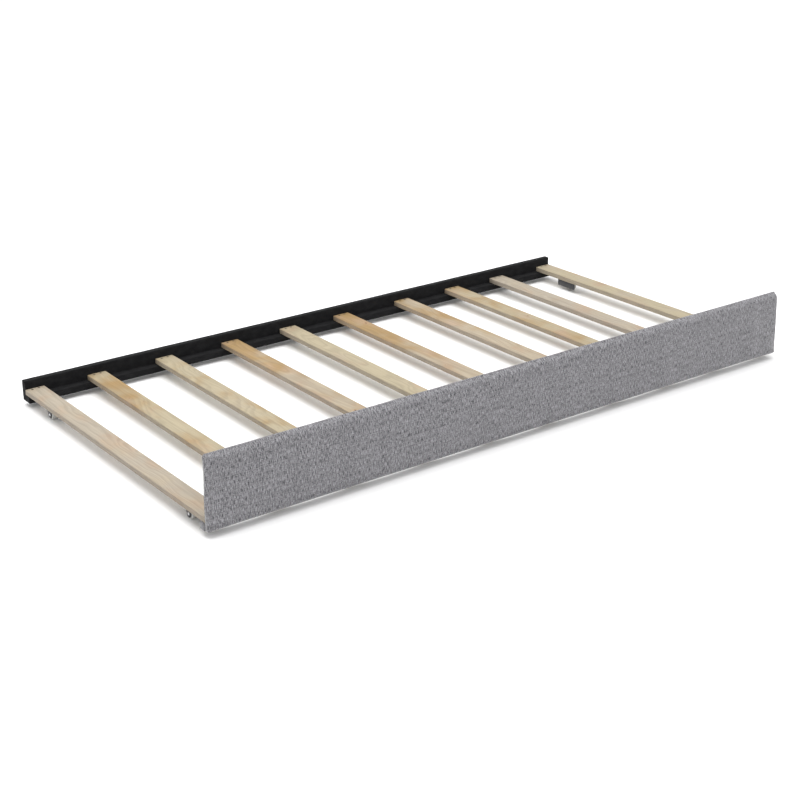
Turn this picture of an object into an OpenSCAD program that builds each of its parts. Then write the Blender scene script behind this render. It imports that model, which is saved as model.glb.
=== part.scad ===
/* [Overall] */
// Length of the rear rail, the longest piece
bed_l = 1908; // [1700:1:2040]
// Width from the face of the front panel to the back of the rear rail
bed_w = 1022; // [900:1:1200]
// Gap between the floor and the underside of the front panel
floor_gap = 14.5; // [14:0.5:20]

/* [Front panel] */
// Length of the front panel
front_l = 1905; // [1690:1:2030]
// Height of the front panel
front_h = 191; // [120:1:260]
// Thickness of the front board
front_board_t = 12; // [9:0.5:18]
// Thickness of the foam over the face of the front board
foam_t = 6; // [4:0.5:12]
// Thickness of the foam over the top and the ends of the front board
foam_edge_t = 4; // [2:0.5:6]
// Thickness of the grey cover fabric
cover_t = 1.2; // [0.8:0.1:2]
// How far the cover is turned in behind the front board
cover_turn_in = 34; // [25:1:45]
// Radius of the padded edge along the top of the front panel
front_edge_r = 18; // [8:0.5:18]
// Thickness of the lining behind the front board
lining_t = 0.6; // [0.4:0.1:1]
// Distance from the lining's edge to the edge of the front panel
lining_in = 12; // [8:1:20]

/* [Rear rail] */
// Height of the rear rail
rear_h = 59; // [55:1:90]
// How far the rear rail hangs below the underside of the front panel
rear_drop = 1; // [0:0.5:3]
// Thickness of the rear board
rear_board_t = 18; // [15:0.5:24]

/* [Ledgers] */
// Depth of the front ledger under the slat ends
front_ledger_d = 18; // [16:0.5:24]
// Depth of the rear ledger under the slat ends
rear_ledger_d = 23; // [20:0.5:28]
// Thickness of the fabric wrapped round the ledgers and the rear board
wrap_t = 1; // [0.6:0.1:1.5]
// Height of the slats' undersides above the underside of the front panel
ledger_top = 19; // [18.5:0.5:26]

/* [Slats] */
// Width of a slat
slat_w = 56; // [45:1:70]
// Thickness of a slat
slat_t = 15; // [12:0.5:18]
// Chamfer along a slat's long edges
slat_chamfer = 1.2; // [0.5:0.1:2]
// Gap between the slats' front ends and the front panel
slat_front_gap = 1; // [0.5:0.1:2]
// Gap between the slats' rear ends and the rear board
slat_rear_gap = 1.5; // [1:0.5:10]
// Distance from the rear rail's left end to the middle of the first slat
first_slat_in = 31; // [31:0.5:40]
// Distance from the rear rail's right end to the middle of the last slat
last_slat_in = 29; // [29:0.5:40]

/* [Casters] */
// Diameter of a wheel
wheel_d = 28; // [24:1:28]
// Width of a wheel's tread
wheel_w = 13; // [11:0.5:14]
// Length of the steel angle that a caster hangs from
angle_l = 80; // [70:1:100]
// Height of the angle's upright leg
angle_h = 21; // [16:1:28]
// Thickness of the caster steel
steel_t = 1.5; // [1.2:0.1:1.8]
// Diameter of the rivet that a wheel turns on
axle_d = 5; // [4:0.5:6]

/* [Fasteners] */
// Diameter of a screw's shank
screw_d = 3.5; // [3:0.1:4.5]
// Diameter of a screw's head
screw_head_d = 7; // [6:0.1:9]
// Distance between staples
staple_pitch = 76; // [50:1:120]

/* [Hidden] */
$fn = 48;
eps = 0.01;
// How far a cutting block reaches past the face that it cuts
over_cut = 1;
// The lining lies this far behind the turned-in cover
lining_gap = 0.05;
// The foam is never thinner than this over the front board's rounded corner
foam_corner_t = 1.5;

// Places along the width: y runs from the padded face to the back of the rail
y_face = -bed_w / 2;
y_board_front = y_face + cover_t + foam_t;
y_board_back = y_board_front + front_board_t;
y_cover_back = y_board_back + cover_t;
y_lining_back = y_cover_back + lining_gap + lining_t;
y_front_ledger = y_cover_back + wrap_t;
// The padded edge's radius leaves a flat strip along the top of the panel
panel_edge_r = min(front_edge_r, y_cover_back - y_face - cover_t);
y_rail_back = bed_w / 2;
y_rear_board_back = y_rail_back - wrap_t;
y_rear_board_front = y_rear_board_back - rear_board_t;
y_rail_front = y_rear_board_front - wrap_t;
y_rear_ledger = y_rear_board_front - rear_ledger_d;

// Places along the height
z_front = floor_gap;
z_front_top = floor_gap + front_h;
z_rear = floor_gap - rear_drop;
z_rear_top = z_rear + rear_h;
z_slat = floor_gap + ledger_top;
z_slat_top = z_slat + slat_t;

// Slats: even places, and how far each one was set from them by hand
slat_count = 10;
slat_offset = [0, -25, -18, -5, -6, -15, 15, 14, -2, 0];
slat_skew = [0.3, -0.2, -0.2, -0.2, -0.1, -0.1, 0, 0, -0.1, 0.1];
slat_first = -bed_l / 2 + first_slat_in;
slat_pitch = (bed_l - first_slat_in - last_slat_in) / (slat_count - 1);
slat_y0 = y_lining_back + slat_front_gap;
slat_y1 = y_rail_front - slat_rear_gap;
slat_l = slat_y1 - slat_y0;
slat_ymid = (slat_y0 + slat_y1) / 2;
function slat_x(i) = slat_first + i * slat_pitch + slat_offset[i];
function slat_name(i) = str("slat_", i < 9 ? "0" : "", i + 1);

// Two slat screws at each end, staggered: across the slat, and in from its end
slat_screw_at = [[9, 6], [-11, 8]];
slat_screw_l = 28;
ledger_screw_l = 26;
rear_screw_bite = 10;
rear_screw_l = rear_ledger_d + rear_screw_bite;
countersink_h = 2.2;
pilot_gap = 0.05;
screw_clear = 0.25;
tip_h = 3;
tip_d = 0.6;

// Ledger screws lie between the slats, halfway up each ledger
ledger_screw_x = [for (i = [0 : slat_count - 2]) (slat_x(i) + slat_x(i + 1)) / 2];
z_front_ledger_mid = (z_front + z_slat) / 2;
z_rear_ledger_mid = (z_rear + z_slat) / 2;

// Casters: side of the bed, distance in from the front panel's end, place along the width
casters = ["front_left", "rear_left", "front_right", "rear_right"];
caster_side = [-1, -1, 1, 1];
caster_in = [26, 19.5, 24, 26.5];
caster_y = [-388, 363, -388, 341];
fork_gap = wheel_w + 2;
fork_w = fork_gap + 2 * steel_t;
fork_plate_l = 44;
fork_top_w = 38;
fork_boss_r = 9;
z_axle = wheel_d / 2;
z_flange = z_slat - steel_t;
angle_w = 35.5;
hub_r = 5.5;
hub_end_gap = 0.3;
hub_w = fork_gap - 2 * hub_end_gap;
rim_r = wheel_d / 2 - 3.5;
rim_slope = 0.6;
tread_r = 2;
web_w = 8;
axle_run_gap = 0.08;
rivet_head_r = 4;
rivet_head_h = 1.4;
rivet_taper = 0.6;
caster_screw_l = 13;
pan_head_h = 1.6;
pan_taper = 0.72;
// Two screws through the fork's plate and two beside it: across, and along
caster_screw_at = [[0, -17], [0, 17], [-16, -32], [-16, 32]];

// Staples
staple_w = 11;
staple_wire = 0.8;
staple_leg = 6;
lining_staple_in = 5;
lining_staple_end = 8;
lining_side_staple_up = [25, 75];
rear_staple_end = 20;
rear_staple_up = 9;

// A block between two corners
module block(low, high) {
    translate(low) cube(high - low);
}

// Extrudes a [y, z] outline along x, centred, to length l
module along_x(l) {
    rotate([90, 0, 90]) linear_extrude(height = l, center = true) children();
}

// The padded panel's [y, z] section, shrunk by inset on all sides
module front_section(inset) {
    r = panel_edge_r - inset;
    low = [y_face + inset, z_front + inset];
    high = [y_cover_back - inset, z_front_top - inset];
    translate(low) square([high[0] - low[0], high[1] - low[1] - r]);
    translate([low[0] + r, low[1]]) square([high[0] - low[0] - r, high[1] - low[1]]);
    intersection() {
        translate([low[0] + r, high[1] - r]) circle(r);
        translate([low[0], high[1] - r]) square(r);
    }
}

// A countersunk wood screw along -z, its head's face at the origin
module countersunk_screw(l) {
    translate([0, 0, -countersink_h])
        cylinder(h = countersink_h, d1 = screw_d, d2 = screw_head_d);
    translate([0, 0, -l + tip_h]) cylinder(h = l - tip_h - countersink_h, d = screw_d);
    translate([0, 0, -l]) cylinder(h = tip_h, d1 = tip_d, d2 = screw_d);
}

// The countersunk hole of one piece that the screw passes through loosely
module countersunk_hole(depth) {
    translate([0, 0, -countersink_h - screw_clear])
        cylinder(h = countersink_h + 2 * screw_clear, d1 = screw_d + 2 * screw_clear,
            d2 = screw_head_d + 4 * screw_clear);
    translate([0, 0, -depth]) cylinder(h = depth, d = screw_d + 2 * screw_clear);
}

// The pilot hole that the screw's shank fills, from a height down
module pilot_hole(from, to) {
    translate([0, 0, to]) cylinder(h = from - to, d = screw_d + 2 * pilot_gap);
}

// A pan-head screw along +z, its head below the origin
module pan_screw(l) {
    translate([0, 0, -pan_head_h])
        cylinder(h = pan_head_h, d1 = screw_head_d * pan_taper, d2 = screw_head_d);
    cylinder(h = l - tip_h, d = screw_d);
    translate([0, 0, l - tip_h]) cylinder(h = tip_h, d1 = screw_d, d2 = tip_d);
}

// Moves children to the middle of a slat's top
module on_slat(i) {
    translate([slat_x(i), slat_ymid, z_slat_top]) rotate([0, 0, slat_skew[i]]) children();
}

// Children at both screws of one end of a slat: end is -1 in front, 1 behind
module at_slat_screws(i, end) {
    on_slat(i) for (p = slat_screw_at)
        translate([p[0], end * (slat_l / 2 - p[1]), 0]) children();
}

module at_all_slat_screws(end) {
    for (i = [0 : slat_count - 1]) at_slat_screws(i, end) children();
}

// Children at each ledger screw: y is the ledger's inner face, side 1 drives it to +y
module at_ledger_screws(y, z, side) {
    for (x = ledger_screw_x) translate([x, y, z]) rotate([side * 90, 0, 0]) children();
}

// Moves children to a caster: the origin is under the slat, +x points out of the bed
module at_caster(k) {
    translate([caster_side[k] * (front_l / 2 - caster_in[k]), caster_y[k], z_flange])
        mirror([caster_side[k] < 0 ? 1 : 0, 0, 0]) children();
}

module at_caster_screws(k) {
    at_caster(k) for (p = caster_screw_at) translate([p[0], p[1], 0]) children();
}

// A staple whose crown lies on z = 0 and whose legs go down
module staple() {
    translate([-staple_w / 2, -staple_wire / 2, 0]) cube([staple_w, staple_wire, staple_wire]);
    for (s = [-1, 1])
        translate([s * (staple_w - staple_wire) / 2 - staple_wire / 2, -staple_wire / 2, -staple_leg])
            cube([staple_wire, staple_wire, staple_leg + eps]);
}

// A row of staples along x between two limits
module staple_row(x0, x1) {
    count = floor((x1 - x0) / staple_pitch);
    for (i = [0 : count]) translate([x0 + i * (x1 - x0) / count, 0, 0]) children();
}

board_l = front_l - 2 * (cover_t + foam_edge_t);
board_top = z_front_top - cover_t - foam_edge_t;
front_ledger_l = front_l - 2 * wrap_t;

// The front board's [y, z] section, its front corner rounded off inside the foam
module board_section(z_low, y_back) {
    difference() {
        translate([y_board_front, z_low]) square([y_back - y_board_front, board_top - z_low]);
        translate([y_face + panel_edge_r, z_front_top - panel_edge_r]) difference() {
            translate([-panel_edge_r, 0]) square(panel_edge_r);
            circle(panel_edge_r - cover_t - foam_corner_t);
        }
    }
}

module front_board() {
    color("tan") difference() {
        along_x(board_l) board_section(z_front + cover_t, y_board_back);
        at_ledger_screws(y_front_ledger + front_ledger_d, z_front_ledger_mid, -1)
            pilot_hole(-front_ledger_d, -ledger_screw_l - over_cut);
    }
}

module front_foam() {
    color("lightyellow") difference() {
        intersection() {
            along_x(front_l - 2 * cover_t) front_section(cover_t);
            block([-front_l / 2, y_face, z_front], [front_l / 2, y_board_back, z_front_top]);
        }
        along_x(board_l) board_section(z_front, y_cover_back);
    }
}

module front_cover() {
    color("slategray") difference() {
        along_x(front_l) front_section(0);
        along_x(front_l - 2 * cover_t) front_section(cover_t);
        block([-front_l / 2 + cover_turn_in, y_board_back - over_cut, z_front + cover_turn_in],
            [front_l / 2 - cover_turn_in, y_cover_back + over_cut, z_front_top - cover_turn_in]);
        at_ledger_screws(y_front_ledger + front_ledger_d, z_front_ledger_mid, -1)
            pilot_hole(-front_ledger_d + over_cut, -ledger_screw_l - over_cut);
    }
}

module front_lining() {
    color("dimgray") block(
        [-front_l / 2 + lining_in, y_cover_back + lining_gap, z_slat],
        [front_l / 2 - lining_in, y_lining_back, z_front_top - lining_in]);
}

module front_staples() {
    x1 = front_l / 2 - lining_in - lining_staple_end;
    color("silver") {
        translate([0, y_lining_back, z_front_top - lining_in - lining_staple_in]) rotate([-90, 0, 0])
            staple_row(-x1, x1) staple();
        for (s = [-1, 1], up = lining_side_staple_up)
            translate([s * (front_l / 2 - lining_in - lining_staple_in), y_lining_back, z_slat_top + up])
                rotate([-90, 90, 0]) staple();
    }
}

module front_ledger() {
    color("burlywood") difference() {
        block([-front_ledger_l / 2, y_front_ledger, z_front + wrap_t],
            [front_ledger_l / 2, y_front_ledger + front_ledger_d, z_slat - wrap_t]);
        at_ledger_screws(y_front_ledger + front_ledger_d, z_front_ledger_mid, -1)
            countersunk_hole(front_ledger_d + over_cut);
        at_all_slat_screws(-1) pilot_hole(0, -slat_screw_l - over_cut);
    }
}

module front_ledger_wrap() {
    color("slategray") difference() {
        block([-front_l / 2, y_cover_back, z_front],
            [front_l / 2, y_front_ledger + front_ledger_d + wrap_t, z_slat]);
        block([-front_ledger_l / 2, y_front_ledger, z_front + wrap_t],
            [front_ledger_l / 2, y_front_ledger + front_ledger_d, z_slat - wrap_t]);
        at_ledger_screws(y_front_ledger, z_front_ledger_mid, -1)
            pilot_hole(over_cut, -wrap_t - over_cut);
        at_all_slat_screws(-1) pilot_hole(0, -slat_t - wrap_t - over_cut);
    }
}

module front_ledger_screws() {
    color("gray") at_ledger_screws(y_front_ledger + front_ledger_d, z_front_ledger_mid, -1)
        countersunk_screw(ledger_screw_l);
}

module rear_board() {
    color("tan") difference() {
        block([-bed_l / 2 + wrap_t, y_rear_board_front, z_rear + wrap_t],
            [bed_l / 2 - wrap_t, y_rear_board_back, z_rear_top - wrap_t]);
        at_ledger_screws(y_rear_ledger, z_rear_ledger_mid, 1)
            pilot_hole(-rear_ledger_d, -rear_screw_l - over_cut);
    }
}

module rear_ledger() {
    color("burlywood") difference() {
        block([-bed_l / 2 + wrap_t, y_rear_ledger, z_rear + wrap_t],
            [bed_l / 2 - wrap_t, y_rear_board_front, z_slat - wrap_t]);
        at_ledger_screws(y_rear_ledger, z_rear_ledger_mid, 1) countersunk_hole(rear_ledger_d + over_cut);
        at_all_slat_screws(1) pilot_hole(0, -slat_screw_l - over_cut);
    }
}

// One stepped skin round the rear board and its ledger
module rear_wrap() {
    color("#26262a") difference() {
        union() {
            block([-bed_l / 2, y_rail_front, z_rear], [bed_l / 2, y_rail_back, z_rear_top]);
            block([-bed_l / 2, y_rear_ledger - wrap_t, z_rear], [bed_l / 2, y_rail_back, z_slat]);
        }
        block([-bed_l / 2 + wrap_t, y_rear_board_front, z_rear + wrap_t],
            [bed_l / 2 - wrap_t, y_rear_board_back, z_rear_top - wrap_t]);
        block([-bed_l / 2 + wrap_t, y_rear_ledger, z_rear + wrap_t],
            [bed_l / 2 - wrap_t, y_rear_board_front, z_slat - wrap_t]);
        at_all_slat_screws(1) pilot_hole(0, -slat_t - wrap_t - over_cut);
    }
}

module rear_ledger_screws() {
    color("gray") at_ledger_screws(y_rear_ledger, z_rear_ledger_mid, 1)
        countersunk_screw(rear_screw_l);
}

module rear_staples() {
    x1 = bed_l / 2 - rear_staple_end;
    color("silver") translate([0, y_rail_back - staple_wire, z_rear + rear_staple_up]) rotate([-90, 0, 0])
        staple_row(-x1, x1) staple();
}

module slat(i) {
    c = slat_chamfer;
    color("wheat") difference() {
        on_slat(i) translate([0, 0, -slat_t / 2]) rotate([90, 0, 0])
            linear_extrude(height = slat_l, center = true) polygon([
                [-slat_w / 2 + c, -slat_t / 2], [slat_w / 2 - c, -slat_t / 2],
                [slat_w / 2, -slat_t / 2 + c], [slat_w / 2, slat_t / 2 - c],
                [slat_w / 2 - c, slat_t / 2], [-slat_w / 2 + c, slat_t / 2],
                [-slat_w / 2, slat_t / 2 - c], [-slat_w / 2, -slat_t / 2 + c]
            ]);
        for (end = [-1, 1]) at_slat_screws(i, end) countersunk_hole(slat_t + over_cut);
        for (k = [0 : len(casters) - 1])
            if (i == (caster_side[k] < 0 ? 0 : slat_count - 1))
                at_caster_screws(k) pilot_hole(slat_t, 0);
    }
}

module slat_screws(end) {
    color("dimgray") at_all_slat_screws(end) translate([0, 0, -screw_clear])
        countersunk_screw(slat_screw_l);
}

// Steel angle: a flange under the slat, and a leg that hangs down inside the wheel
module caster_angle(k) {
    color("#303033") difference() {
        at_caster(k) union() {
            block([fork_w / 2 - angle_w, -angle_l / 2, 0], [fork_w / 2, angle_l / 2, steel_t]);
            block([fork_w / 2 - angle_w, -angle_l / 2, steel_t - angle_h],
                [fork_w / 2 - angle_w + steel_t, angle_l / 2, steel_t]);
        }
        at_caster_screws(k) pilot_hole(steel_t + over_cut, -over_cut);
    }
}

// One cheek of the fork, in the plane across the axle, centred on the axle
module fork_cheek() {
    top = z_flange - z_axle;
    difference() {
        union() {
            circle(fork_boss_r);
            polygon([[-fork_boss_r, 0], [fork_boss_r, 0], [fork_top_w / 2, top], [-fork_top_w / 2, top]]);
        }
        circle(d = axle_d + 2 * pilot_gap);
    }
}

module caster_fork(k) {
    color("#3a3a3d") difference() {
        at_caster(k) union() {
            block([-fork_w / 2, -fork_plate_l / 2, -steel_t], [fork_w / 2, fork_plate_l / 2, 0]);
            for (s = [-1, 1])
                translate([s * (fork_w - steel_t) / 2, 0, z_axle - z_flange])
                    along_x(steel_t) fork_cheek();
        }
        at_caster_screws(k) pilot_hole(over_cut, -steel_t - over_cut);
    }
}

// A rivet through both cheeks, with a low head outside each
module caster_axle(k) {
    color("silver") at_caster(k) translate([0, 0, z_axle - z_flange]) rotate([0, 90, 0]) {
        cylinder(h = fork_w + 2 * eps, d = axle_d, center = true);
        for (s = [0, 1]) mirror([0, 0, s]) translate([0, 0, fork_w / 2])
            cylinder(h = rivet_head_h, r1 = rivet_head_r, r2 = rivet_head_r * rivet_taper);
    }
}

// Half of the wheel's section as [radius, width] points, from the bore out
function wheel_half() = concat(
    [[axle_d / 2 + axle_run_gap, 0], [axle_d / 2 + axle_run_gap, hub_w / 2], [hub_r, hub_w / 2]],
    [[hub_r + rim_slope, web_w / 2], [rim_r - rim_slope, web_w / 2], [rim_r, wheel_w / 2]],
    [for (a = [90 : -15 : 0])
        [wheel_d / 2 - tread_r + tread_r * cos(a), wheel_w / 2 - tread_r + tread_r * sin(a)]],
    [[wheel_d / 2, 0]]
);

module wheel(k) {
    color("gainsboro") at_caster(k) translate([0, 0, z_axle - z_flange]) rotate([0, 90, 0])
        for (s = [0, 1]) mirror([0, 0, s]) rotate_extrude() polygon(wheel_half());
}

// Four screws for each caster; two of them also hold the fork's plate
module caster_screws() {
    color("silver") for (k = [0 : len(casters) - 1]) at_caster(k) for (p = caster_screw_at)
        translate([p[0], p[1], p[0] == 0 ? -steel_t : 0]) pan_screw(caster_screw_l);
}

front_board();
front_foam();
front_cover();
front_lining();
front_staples();
front_ledger();
front_ledger_wrap();
front_ledger_screws();
rear_board();
rear_ledger();
rear_wrap();
rear_ledger_screws();
rear_staples();
for (i = [0 : slat_count - 1])
    slat(i);
slat_screws(-1);  // slat_screws_front
slat_screws(1);  // slat_screws_rear
for (k = [0 : len(casters) - 1]) {
    caster_angle(k);
    caster_fork(k);
    caster_axle(k);
    wheel(k);
}
caster_screws();
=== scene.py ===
"""Looks for the trundle bed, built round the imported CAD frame. Lengths are in metres, and in
millimetres inside the shader nodes."""

import math
import random

import bmesh
import bpy
from mathutils import Matrix, Vector, noise


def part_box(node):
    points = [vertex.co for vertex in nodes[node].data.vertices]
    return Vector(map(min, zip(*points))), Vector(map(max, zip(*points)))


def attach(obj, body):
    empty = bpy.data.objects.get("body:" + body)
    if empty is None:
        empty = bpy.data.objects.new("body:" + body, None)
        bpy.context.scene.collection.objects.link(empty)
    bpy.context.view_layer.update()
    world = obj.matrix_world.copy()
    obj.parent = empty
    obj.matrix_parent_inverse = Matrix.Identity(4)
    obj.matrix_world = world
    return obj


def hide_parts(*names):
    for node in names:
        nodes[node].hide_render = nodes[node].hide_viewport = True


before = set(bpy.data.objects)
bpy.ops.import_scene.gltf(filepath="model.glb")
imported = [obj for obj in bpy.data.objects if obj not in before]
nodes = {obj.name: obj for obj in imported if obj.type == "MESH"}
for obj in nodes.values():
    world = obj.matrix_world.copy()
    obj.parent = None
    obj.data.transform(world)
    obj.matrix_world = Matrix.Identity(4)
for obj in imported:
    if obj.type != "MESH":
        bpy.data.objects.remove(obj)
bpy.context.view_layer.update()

CASTERS = ("front_left", "rear_left", "front_right", "rear_right")
SIDES = ((-1, "left"), (1, "right"))


# ---------------------------------------------------------------- shader nodes


class Field:
    """A node's output, which varies over the surface. Arithmetic with it adds Math nodes."""

    def __init__(self, shader, socket):
        self.shader, self.socket = shader, socket

    def __add__(self, other):
        return self.shader.math("ADD", self, other)

    def __sub__(self, other):
        return self.shader.math("SUBTRACT", self, other)

    def __rsub__(self, other):
        return self.shader.math("SUBTRACT", other, self)

    def __mul__(self, other):
        return self.shader.math("MULTIPLY", self, other)

    def __truediv__(self, other):
        return self.shader.math("DIVIDE", self, other)

    def __abs__(self):
        return self.shader.math("ABSOLUTE", self)

    __radd__ = __add__


class Shader:
    """A Principled material, with short calls for the nodes that feed it. fixed holds what is
    the same all over the surface, set on the shader's own sockets."""

    def __init__(self, name, fixed):
        self.material = bpy.data.materials.new(name)
        self.material.use_nodes = True
        self.tree = self.material.node_tree
        self.tree.nodes.clear()
        self.bsdf = self.add("ShaderNodeBsdfPrincipled", fixed)
        output = self.add("ShaderNodeOutputMaterial")
        self.tree.links.new(self.bsdf.outputs["BSDF"], output.inputs["Surface"])

    def put(self, socket, value):
        """Feeds a socket with a field or a plain value. None leaves it alone."""
        if isinstance(value, Field):
            self.tree.links.new(value.socket, socket)
        elif value is not None:
            socket.default_value = value

    def add(self, kind, inputs=(), **settings):
        node = self.tree.nodes.new(kind)
        for key, value in settings.items():
            setattr(node, key, value)
        for key, value in dict(inputs).items():
            self.put(node.inputs[key], value)
        return node

    def field(self, kind, inputs=(), output=0, **settings):
        return Field(self, self.add(kind, inputs, **settings).outputs[output])

    def math(self, operation, *values, clamp=False):
        return self.field("ShaderNodeMath", enumerate(values), operation=operation, use_clamp=clamp)

    def blend(self, factor, a, b):
        return self.field("ShaderNodeMix", {0: factor, 2: a, 3: b}, data_type="FLOAT")

    def mix(self, factor, a, b):
        """A colour between two others."""
        return self.field("ShaderNodeMix", {0: factor, 6: rgba(a), 7: rgba(b)}, 2, data_type="RGBA")

    def scaled(self, colour, value):
        """A colour or vector times a number."""
        return self.field("ShaderNodeVectorMath", {0: colour, "Scale": value}, operation="SCALE")

    def vector(self, x, y, z=0.0):
        return self.field("ShaderNodeCombineXYZ", enumerate((x, y, z)))

    def split(self, vector):
        node = self.add("ShaderNodeSeparateXYZ", {0: vector})
        return [Field(self, socket) for socket in node.outputs]

    def place(self, kind="Object"):
        """Coordinates in millimetres: Object is the shared frame, UV is the cloth laid flat."""
        return self.scaled(self.field("ShaderNodeTexCoord", output=kind), 1000.0)

    def normal(self):
        return self.field("ShaderNodeTexCoord", output="Normal")

    def noise(self, vector, scale=1.0, detail=2.0, rough=0.5, distortion=0.0):
        inputs = {"Vector": vector, "Scale": scale, "Detail": detail, "Roughness": rough,
                  "Distortion": distortion}
        return self.field("ShaderNodeTexNoise", inputs, "Fac")

    def white(self, value):
        """A random number for each value."""
        return self.field("ShaderNodeTexWhiteNoise", {"W": value}, "Value", noise_dimensions="1D")

    def step(self, value, low, high, out_low=0.0, out_high=1.0):
        """Goes smoothly from out_low to out_high as value goes from low to high."""
        inputs = {"Value": value, "From Min": low, "From Max": high,
                  "To Min": out_low, "To Max": out_high}
        return self.field("ShaderNodeMapRange", inputs, "Result", interpolation_type="SMOOTHSTEP")

    def bump(self, height, distance, strength):
        inputs = {"Height": height, "Distance": distance, "Strength": strength}
        return self.field("ShaderNodeBump", inputs, "Normal")

    def finish(self, colour, roughness=None, normal=None):
        self.put(self.bsdf.inputs["Base Color"], colour)
        self.put(self.bsdf.inputs["Roughness"], roughness)
        self.put(self.bsdf.inputs["Normal"], normal)
        return self.material


def rgba(colour):
    return colour if isinstance(colour, Field) else (*colour, 1.0)


# ------------------------------------------------------------------- materials


YARN_PITCH = 1.5                # mm from one yarn to the next
DUST = (0.36, 0.31, 0.26)       # on sawn edges
END_GRAIN = (0.36, 0.27, 0.18)
KNOT_HALO, KNOT_CORE = (0.40, 0.22, 0.10), (0.075, 0.034, 0.016)
BARE_METAL = (0.26, 0.26, 0.27)
TREAD_DIRT = (0.26, 0.245, 0.225)


def woven(name, light, dark):
    """Plain weave of uneven yarns. The cloth's UV map is in metres, laid flat."""
    s = Shader(name, {"Roughness": 0.9, "Specular IOR Level": 0.25,
                      "Sheen Weight": 0.85, "Sheen Roughness": 0.3})
    u, v, _ = s.split(s.place("UV"))
    # Yarns wander a little, so the rows are never ruler straight
    drift = (s.noise(s.vector(u / 55.0, v / 55.0), detail=1.0) - 0.5) * 5.0
    across, along = (u + drift) / YARN_PITCH, (v - drift) / YARN_PITCH
    warp, weft = s.math("FLOOR", across), s.math("FLOOR", along)
    warp_off, weft_off = s.math("FRACT", across) - 0.5, s.math("FRACT", along) - 0.5
    over = s.math("FLOORED_MODULO", warp + weft, 2.0)

    def yarn(index, length, seed):
        """Tone of a yarn: its own dye, with slubs along it."""
        dye = s.white(index + seed) - 0.5
        slub = s.noise(s.vector(index * 3.71, length / 9.0, seed), rough=0.6) - 0.5
        return dye * 0.5 + slub * 2.2

    def crown(side, run):
        """Height of a yarn: round across it, and diving under the next yarn along it."""
        return (1.0 - side * side * 3.4) * (1.0 - run * run * 2.0)

    # Bundles of thick yarn that can be seen from across a room
    upright = s.noise(s.vector(u / 1.5, v / 12.0, 7.0)) - 0.5
    level = s.noise(s.vector(u / 4.5, v / 1.5, 3.0), detail=1.0) - 0.5
    bundle = upright * 1.2 + level * 0.6
    cloud = s.noise(s.vector(u / 60.0, v / 60.0, 1.0)) - 0.5
    tone = s.blend(over, yarn(weft, u, 5.3), yarn(warp, v, 41.9))
    tone = s.math("ADD", tone * 0.69 + bundle * 2.53 + cloud * 0.22, 0.5, clamp=True)
    height = s.blend(over, crown(weft_off, warp_off), crown(warp_off, weft_off))
    # Painted shade and highlight: the colour is scaled by the yarns' height, from 0.62 in the
    # hollows between and under yarns to 1.06 on their crowns
    colour = s.scaled(s.mix(tone, dark, light), s.step(height, 0.0, 0.7, 0.62, 1.06))
    relief = height + bundle * 1.6
    return s.finish(colour, s.step(tone, 0.0, 1.0, 0.94, 0.82), s.bump(relief, 0.00035, 0.75))


def nonwoven(name, colour, dust, emboss=1.9):
    """Spunbond cloth: matted fibres with small diamonds pressed in, emboss mm apart."""
    s = Shader(name, {"Roughness": 0.82, "Specular IOR Level": 0.1, "Sheen Weight": 0.02})
    u, v, _ = s.split(s.place("UV"))
    turn = math.pi / emboss
    pressed = s.step(s.math("SINE", (u + v) * turn) * s.math("SINE", (u - v) * turn), 0.25, 0.6)
    fibre = s.noise(s.vector(u / 0.9, v / 2.4, 2.0), detail=3.0, rough=0.65, distortion=1.2)
    mottle = s.noise(s.vector(u / 26.0, v / 15.0, 9.0), detail=4.0)
    tint = s.mix(s.step(mottle + fibre * 0.4, 0.5, 1.0), colour, dust)
    tint = s.scaled(tint, s.step(fibre, 0.25, 0.75, 0.7, 1.35))
    height = fibre * 0.6 - pressed * 0.8 + mottle * 2.0
    return s.finish(tint, s.step(pressed, 0.0, 1.0, 0.86, 0.6), s.bump(height, 0.00022, 0.7))


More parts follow.
